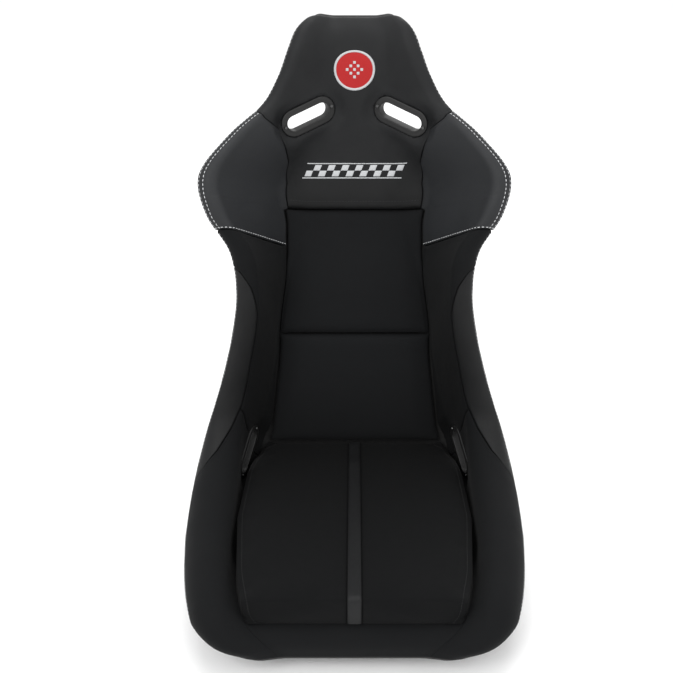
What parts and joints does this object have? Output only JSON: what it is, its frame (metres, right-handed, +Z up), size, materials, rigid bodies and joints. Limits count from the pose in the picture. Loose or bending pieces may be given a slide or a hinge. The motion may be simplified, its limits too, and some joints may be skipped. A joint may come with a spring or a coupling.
{
  "type": "racing seat",
  "caption": "Fixed-back bucket racing seat: one-piece shell with sewn-on bolsters, loose cushion and back pads, shoulder and lap belt slots, side and base threads.",
  "frame": {"origin": "centre of the base bolt pattern on the underside of the two base rails", "axes": "+Z up, the occupant faces -Y, +X to the right seen from the front"},
  "size_m": [0.584, 0.7311, 0.8852],
  "materials": {
    "gelcoat": "satin black gelcoat over glass laminate",
    "edge_rubber": "matt black extruded edge trim",
    "rail_steel": "black powder coat",
    "fastener_steel": "dark plated steel",
    "insert_steel": "dark plated steel",
    "leatherette": "fine-grain charcoal leatherette with pale top stitching",
    "bezel_plastic": "moulded black plastic",
    "hook_tape": "black hook tape",
    "loop_tape": "black loop tape",
    "badge_red": "red embroidered patch with pale grey chequer and ring",
    "thread_grey": "pale grey embroidery thread",
    "woven_fabric": "dense dark woven cover"
  },
  "bodies": {
    "seat_shell": {"shell": "gelcoat", "front_edge_trim": "edge_rubber", "top_edge_trim": "edge_rubber", "left_edge_trim": "edge_rubber", "right_edge_trim": "edge_rubber", "left_base_rail": "rail_steel", "right_base_rail": "rail_steel", "base_bolts": "fastener_steel", "left_side_insert": "insert_steel", "right_side_insert": "insert_steel", "insert_rivets": "fastener_steel", "head_pad": "leatherette", "left_wing_pad": "leatherette", "right_wing_pad": "leatherette", "left_torso_bolster": "woven_fabric", "right_torso_bolster": "woven_fabric", "left_grip_panel": "leatherette", "right_grip_panel": "leatherette", "left_thigh_bolster": "woven_fabric", "right_thigh_bolster": "woven_fabric", "front_lip_pad": "woven_fabric", "pan_hook_strips": "hook_tape", "back_hook_strips": "hook_tape", "left_shoulder_bezel": "bezel_plastic", "right_shoulder_bezel": "bezel_plastic", "left_shoulder_back_ring": "bezel_plastic", "right_shoulder_back_ring": "bezel_plastic", "shoulder_screws": "fastener_steel", "left_lap_bezel": "bezel_plastic", "right_lap_bezel": "bezel_plastic", "left_lap_back_ring": "bezel_plastic", "right_lap_back_ring": "bezel_plastic", "lap_screws": "fastener_steel", "head_badge": "badge_red", "stitched_band": "thread_grey"},
    "cushion": {"seat_cushion": "woven_fabric", "cushion_stripe": "leatherette", "cushion_loop_strips": "loop_tape"},
    "upper_pad": {"upper_back_pad": "woven_fabric", "upper_back_loop_strips": "loop_tape"},
    "lumbar": {"lumbar_pad": "woven_fabric", "lumbar_loop_strips": "loop_tape"}
  },
  "joints": [
    {"name": "cushion_lift", "type": "slide", "parent": "seat_shell", "child": "cushion", "axis": [0, -0.5736, 0.8192], "range_m": [0, 0.3]},
    {"name": "lumbar_pad_lift", "type": "slide", "parent": "seat_shell", "child": "lumbar", "axis": [0, -0.8829, 0.4695], "range_m": [0, 0.18]},
    {"name": "upper_pad_lift", "type": "slide", "parent": "seat_shell", "child": "upper_pad", "axis": [0, -0.848, 0.5299], "range_m": [0, 0.25]}
  ]
}
